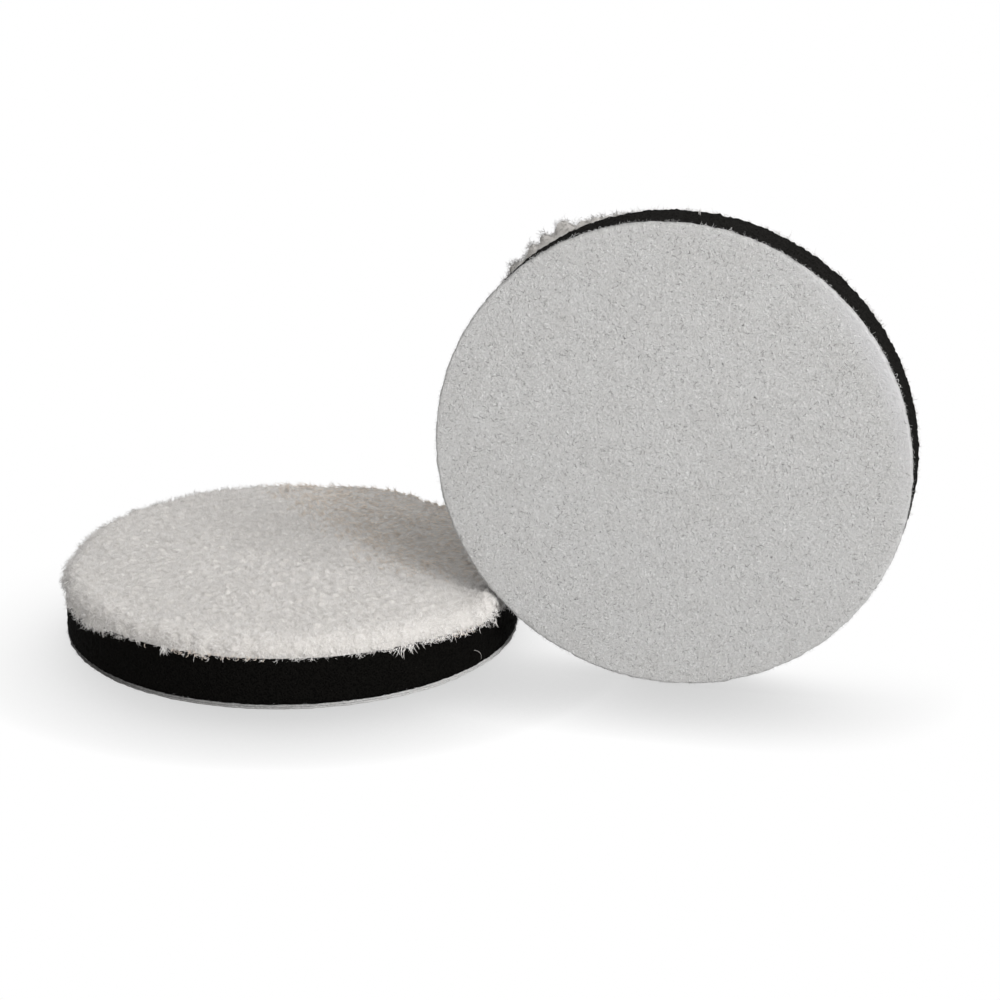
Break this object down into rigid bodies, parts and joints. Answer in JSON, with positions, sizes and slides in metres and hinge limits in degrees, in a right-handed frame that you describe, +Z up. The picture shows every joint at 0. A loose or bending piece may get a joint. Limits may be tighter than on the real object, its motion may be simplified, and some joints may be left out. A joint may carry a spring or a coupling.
{
  "type": "polishing pad",
  "caption": "Round polishing pads with a fluffy white pile face, a black foam core and a grey loop backing, shown lying pile up and standing on edge.",
  "frame": {"origin": "centre of the lying pad's loop face, on the floor", "axes": "+Z up out of the lying pad's pile, +X to the right of the picture, where the standing pad is, +Y away from the camera"},
  "size_m": [0.2428, 0.133, 0.1333],
  "materials": {
    "pile": "matte",
    "pile_cloth": "matte",
    "glue": "satin",
    "foam": "matte",
    "loop_cloth": "matte",
    "loop_nap": "matte"
  },
  "bodies": {
    "lying_pad": {"lying_pile": "pile", "lying_pile_cloth": "pile_cloth", "lying_pile_glue": "glue", "lying_foam": "foam", "lying_loop_glue": "glue", "lying_loop_cloth": "loop_cloth", "lying_loop_nap": "loop_nap"},
    "standing_pad": {"standing_pile": "pile", "standing_pile_cloth": "pile_cloth", "standing_pile_glue": "glue", "standing_foam": "foam", "standing_loop_glue": "glue", "standing_loop_cloth": "loop_cloth", "standing_loop_nap": "loop_nap"}
  },
  "joints": [
    {"name": "standing_pad_lift", "type": "slide", "parent": "lying_pad", "child": "standing_pad", "axis": [0, 0, 1], "range_m": [0, 0.15]}
  ]
}
